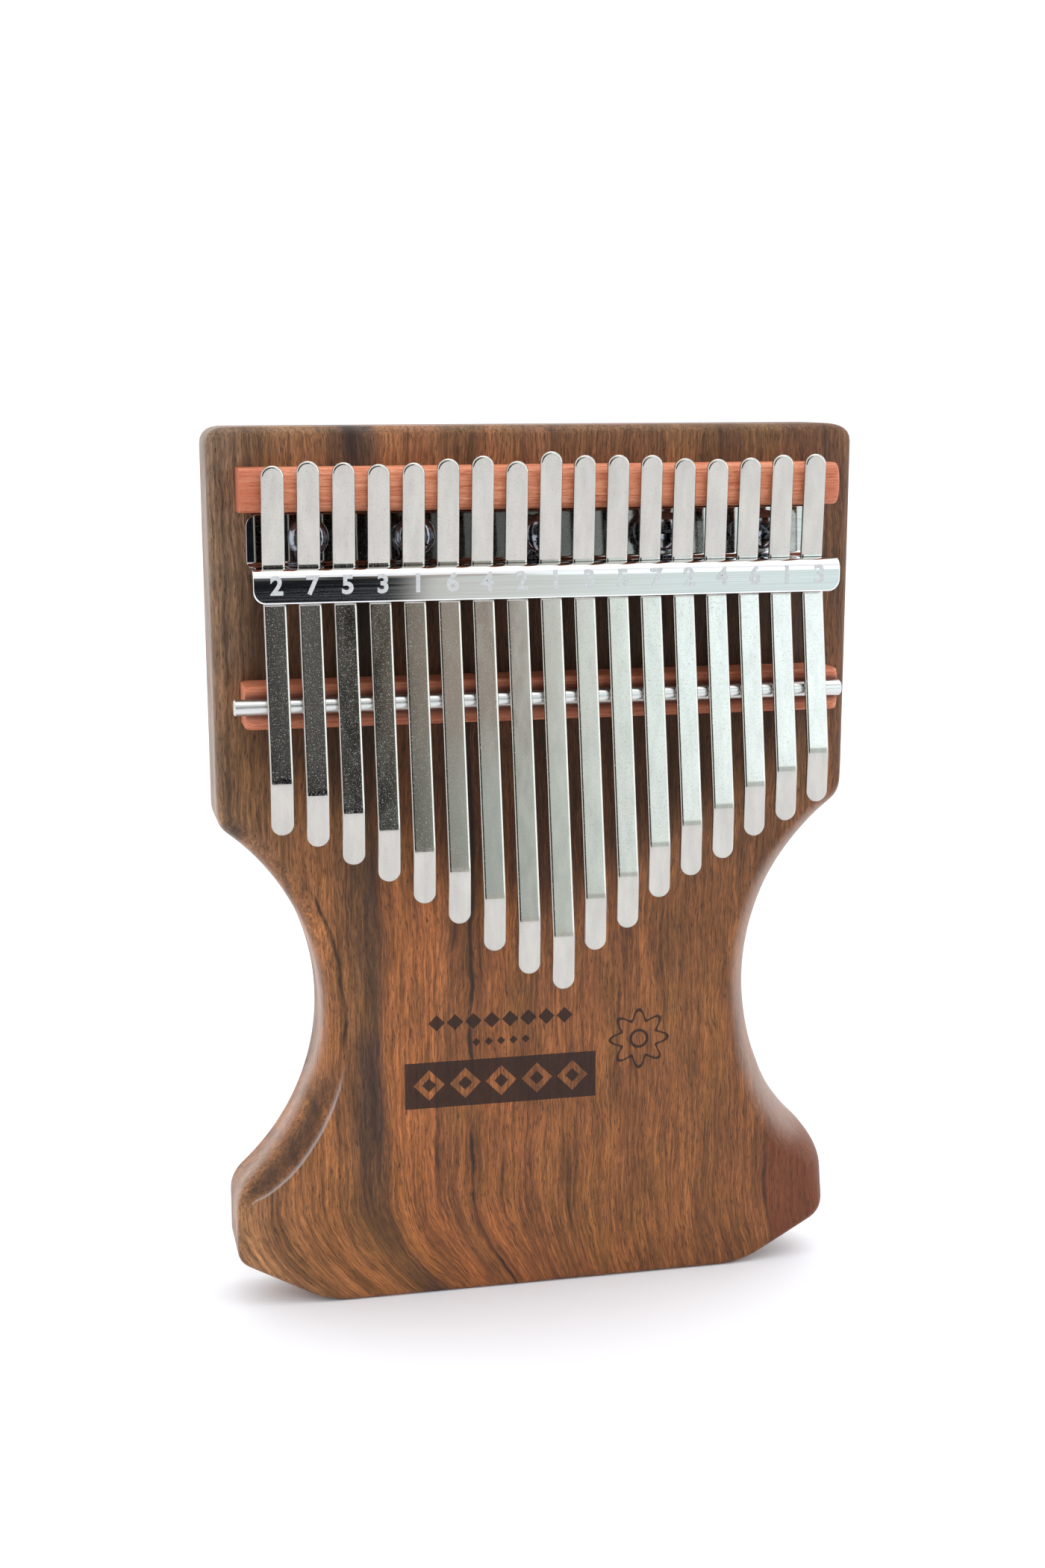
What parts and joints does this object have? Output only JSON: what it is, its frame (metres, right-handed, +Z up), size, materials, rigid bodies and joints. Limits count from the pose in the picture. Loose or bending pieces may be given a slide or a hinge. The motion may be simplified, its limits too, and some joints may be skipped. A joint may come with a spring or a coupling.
{
  "type": "thumb piano",
  "caption": "Thumb piano with a waisted solid wood board, spring-steel tines held by a windowed metal bracket, and a rod bridge.",
  "frame": {"origin": "centre of the flat foot that the board stands on, midway through the board's thickness", "axes": "+Z up the board to the tails of the tines, -Y out of the playing face, +X to the player's right"},
  "size_m": [0.1326, 0.0383, 0.1816],
  "materials": {
    "walnut": "dark streaked walnut, satin oil finish",
    "red_hardwood": "reddish hardwood, fine grain, satin",
    "spring_steel": "bright spring steel, finely ground",
    "polished_steel": "polished pressed metal with fine draw lines",
    "bright_rod": "bright drawn rod",
    "screw_steel": "bright plated"
  },
  "bodies": {
    "root": {"board": "walnut", "nut": "red_hardwood", "bridge": "red_hardwood", "bridge_rod": "bright_rod", "bracket": "polished_steel", "bracket_screw_1": "screw_steel", "bracket_screw_2": "screw_steel", "bracket_screw_3": "screw_steel", "bracket_screw_4": "screw_steel", "bracket_screw_5": "screw_steel"},
    "tine_01_tail": {"tine_01_tail": "spring_steel"},
    "tine_01_tongue": {"tine_01_tongue": "spring_steel"},
    "tine_02_tail": {"tine_02_tail": "spring_steel"},
    "tine_02_tongue": {"tine_02_tongue": "spring_steel"},
    "tine_03_tail": {"tine_03_tail": "spring_steel"},
    "tine_03_tongue": {"tine_03_tongue": "spring_steel"},
    "tine_04_tail": {"tine_04_tail": "spring_steel"},
    "tine_04_tongue": {"tine_04_tongue": "spring_steel"},
    "tine_05_tail": {"tine_05_tail": "spring_steel"},
    "tine_05_tongue": {"tine_05_tongue": "spring_steel"},
    "tine_06_tail": {"tine_06_tail": "spring_steel"},
    "tine_06_tongue": {"tine_06_tongue": "spring_steel"},
    "tine_07_tail": {"tine_07_tail": "spring_steel"},
    "tine_07_tongue": {"tine_07_tongue": "spring_steel"},
    "tine_08_tail": {"tine_08_tail": "spring_steel"},
    "tine_08_tongue": {"tine_08_tongue": "spring_steel"},
    "tine_09_tail": {"tine_09_tail": "spring_steel"},
    "tine_09_tongue": {"tine_09_tongue": "spring_steel"},
    "tine_10_tail": {"tine_10_tail": "spring_steel"},
    "tine_10_tongue": {"tine_10_tongue": "spring_steel"},
    "tine_11_tail": {"tine_11_tail": "spring_steel"},
    "tine_11_tongue": {"tine_11_tongue": "spring_steel"},
    "tine_12_tail": {"tine_12_tail": "spring_steel"},
    "tine_12_tongue": {"tine_12_tongue": "spring_steel"},
    "tine_13_tail": {"tine_13_tail": "spring_steel"},
    "tine_13_tongue": {"tine_13_tongue": "spring_steel"},
    "tine_14_tail": {"tine_14_tail": "spring_steel"},
    "tine_14_tongue": {"tine_14_tongue": "spring_steel"},
    "tine_15_tail": {"tine_15_tail": "spring_steel"},
    "tine_15_tongue": {"tine_15_tongue": "spring_steel"},
    "tine_16_tail": {"tine_16_tail": "spring_steel"},
    "tine_16_tongue": {"tine_16_tongue": "spring_steel"},
    "tine_17_tail": {"tine_17_tail": "spring_steel"},
    "tine_17_tongue": {"tine_17_tongue": "spring_steel"}
  },
  "joints": [
    {"name": "tine_01_tune", "type": "slide", "parent": "root", "child": "tine_01_tail", "axis": [0, 0, 1], "range_m": [-0.001, 0.001]},
    {"name": "tine_01_pluck", "type": "hinge", "parent": "tine_01_tail", "child": "tine_01_tongue", "pos_m": [-0.05456, -0.0207, 0.1283], "axis": [1, 0, 0], "range_deg": [-2.5, 2.5], "stiffness_Nm_per_rad": 13.7},
    {"name": "tine_02_tune", "type": "slide", "parent": "root", "child": "tine_02_tail", "axis": [0, 0, 1], "range_m": [-0.001, 0.001]},
    {"name": "tine_02_pluck", "type": "hinge", "parent": "tine_02_tail", "child": "tine_02_tongue", "pos_m": [-0.04774, -0.0207, 0.1283], "axis": [1, 0, 0], "range_deg": [-2.5, 2.5], "stiffness_Nm_per_rad": 12.4},
    {"name": "tine_03_tune", "type": "slide", "parent": "root", "child": "tine_03_tail", "axis": [0, 0, 1], "range_m": [-0.001, 0.001]},
    {"name": "tine_03_pluck", "type": "hinge", "parent": "tine_03_tail", "child": "tine_03_tongue", "pos_m": [-0.04092, -0.0207, 0.1283], "axis": [1, 0, 0], "range_deg": [-2.5, 2.5], "stiffness_Nm_per_rad": 10.9},
    {"name": "tine_04_tune", "type": "slide", "parent": "root", "child": "tine_04_tail", "axis": [0, 0, 1], "range_m": [-0.001, 0.001]},
    {"name": "tine_04_pluck", "type": "hinge", "parent": "tine_04_tail", "child": "tine_04_tongue", "pos_m": [-0.0341, -0.0207, 0.1283], "axis": [1, 0, 0], "range_deg": [-2.5, 2.5], "stiffness_Nm_per_rad": 9.78},
    {"name": "tine_05_tune", "type": "slide", "parent": "root", "child": "tine_05_tail", "axis": [0, 0, 1], "range_m": [-0.001, 0.001]},
    {"name": "tine_05_pluck", "type": "hinge", "parent": "tine_05_tail", "child": "tine_05_tongue", "pos_m": [-0.02728, -0.0207, 0.1283], "axis": [1, 0, 0], "range_deg": [-2.5, 2.5], "stiffness_Nm_per_rad": 8.63},
    {"name": "tine_06_tune", "type": "slide", "parent": "root", "child": "tine_06_tail", "axis": [0, 0, 1], "range_m": [-0.001, 0.001]},
    {"name": "tine_06_pluck", "type": "hinge", "parent": "tine_06_tail", "child": "tine_06_tongue", "pos_m": [-0.02046, -0.0207, 0.1283], "axis": [1, 0, 0], "range_deg": [-2.5, 2.5], "stiffness_Nm_per_rad": 7.77},
    {"name": "tine_07_tune", "type": "slide", "parent": "root", "child": "tine_07_tail", "axis": [0, 0, 1], "range_m": [-0.001, 0.001]},
    {"name": "tine_07_pluck", "type": "hinge", "parent": "tine_07_tail", "child": "tine_07_tongue", "pos_m": [-0.01364, -0.0207, 0.1283], "axis": [1, 0, 0], "range_deg": [-2.5, 2.5], "stiffness_Nm_per_rad": 6.87},
    {"name": "tine_08_tune", "type": "slide", "parent": "root", "child": "tine_08_tail", "axis": [0, 0, 1], "range_m": [-0.001, 0.001]},
    {"name": "tine_08_pluck", "type": "hinge", "parent": "tine_08_tail", "child": "tine_08_tongue", "pos_m": [-0.00682, -0.0207, 0.1283], "axis": [1, 0, 0], "range_deg": [-2.5, 2.5], "stiffness_Nm_per_rad": 6.25},
    {"name": "tine_09_tune", "type": "slide", "parent": "root", "child": "tine_09_tail", "axis": [0, 0, 1], "range_m": [-0.001, 0.001]},
    {"name": "tine_09_pluck", "type": "hinge", "parent": "tine_09_tail", "child": "tine_09_tongue", "pos_m": [0, -0.0207, 0.1283], "axis": [1, 0, 0], "range_deg": [-2.5, 2.5], "stiffness_Nm_per_rad": 5.88},
    {"name": "tine_10_tune", "type": "slide", "parent": "root", "child": "tine_10_tail", "axis": [0, 0, 1], "range_m": [-0.001, 0.001]},
    {"name": "tine_10_pluck", "type": "hinge", "parent": "tine_10_tail", "child": "tine_10_tongue", "pos_m": [0.00682, -0.0207, 0.1283], "axis": [1, 0, 0], "range_deg": [-2.5, 2.5], "stiffness_Nm_per_rad": 6.74},
    {"name": "tine_11_tune", "type": "slide", "parent": "root", "child": "tine_11_tail", "axis": [0, 0, 1], "range_m": [-0.001, 0.001]},
    {"name": "tine_11_pluck", "type": "hinge", "parent": "tine_11_tail", "child": "tine_11_tongue", "pos_m": [0.01364, -0.0207, 0.1283], "axis": [1, 0, 0], "range_deg": [-2.5, 2.5], "stiffness_Nm_per_rad": 7.32},
    {"name": "tine_12_tune", "type": "slide", "parent": "root", "child": "tine_12_tail", "axis": [0, 0, 1], "range_m": [-0.001, 0.001]},
    {"name": "tine_12_pluck", "type": "hinge", "parent": "tine_12_tail", "child": "tine_12_tongue", "pos_m": [0.02046, -0.0207, 0.1283], "axis": [1, 0, 0], "range_deg": [-2.5, 2.5], "stiffness_Nm_per_rad": 8.35},
    {"name": "tine_13_tune", "type": "slide", "parent": "root", "child": "tine_13_tail", "axis": [0, 0, 1], "range_m": [-0.001, 0.001]},
    {"name": "tine_13_pluck", "type": "hinge", "parent": "tine_13_tail", "child": "tine_13_tongue", "pos_m": [0.02728, -0.0207, 0.1283], "axis": [1, 0, 0], "range_deg": [-2.5, 2.5], "stiffness_Nm_per_rad": 9.27},
    {"name": "tine_14_tune", "type": "slide", "parent": "root", "child": "tine_14_tail", "axis": [0, 0, 1], "range_m": [-0.001, 0.001]},
    {"name": "tine_14_pluck", "type": "hinge", "parent": "tine_14_tail", "child": "tine_14_tongue", "pos_m": [0.0341, -0.0207, 0.1283], "axis": [1, 0, 0], "range_deg": [-2.5, 2.5], "stiffness_Nm_per_rad": 10.1},
    {"name": "tine_15_tune", "type": "slide", "parent": "root", "child": "tine_15_tail", "axis": [0, 0, 1], "range_m": [-0.001, 0.001]},
    {"name": "tine_15_pluck", "type": "hinge", "parent": "tine_15_tail", "child": "tine_15_tongue", "pos_m": [0.04092, -0.0207, 0.1283], "axis": [1, 0, 0], "range_deg": [-2.5, 2.5], "stiffness_Nm_per_rad": 11.6},
    {"name": "tine_16_tune", "type": "slide", "parent": "root", "child": "tine_16_tail", "axis": [0, 0, 1], "range_m": [-0.001, 0.001]},
    {"name": "tine_16_pluck", "type": "hinge", "parent": "tine_16_tail", "child": "tine_16_tongue", "pos_m": [0.04774, -0.0207, 0.1283], "axis": [1, 0, 0], "range_deg": [-2.5, 2.5], "stiffness_Nm_per_rad": 12.8},
    {"name": "tine_17_tune", "type": "slide", "parent": "root", "child": "tine_17_tail", "axis": [0, 0, 1], "range_m": [-0.001, 0.001]},
    {"name": "tine_17_pluck", "type": "hinge", "parent": "tine_17_tail", "child": "tine_17_tongue", "pos_m": [0.05456, -0.0207, 0.1283], "axis": [1, 0, 0], "range_deg": [-2.5, 2.5], "stiffness_Nm_per_rad": 14.8}
  ]
}
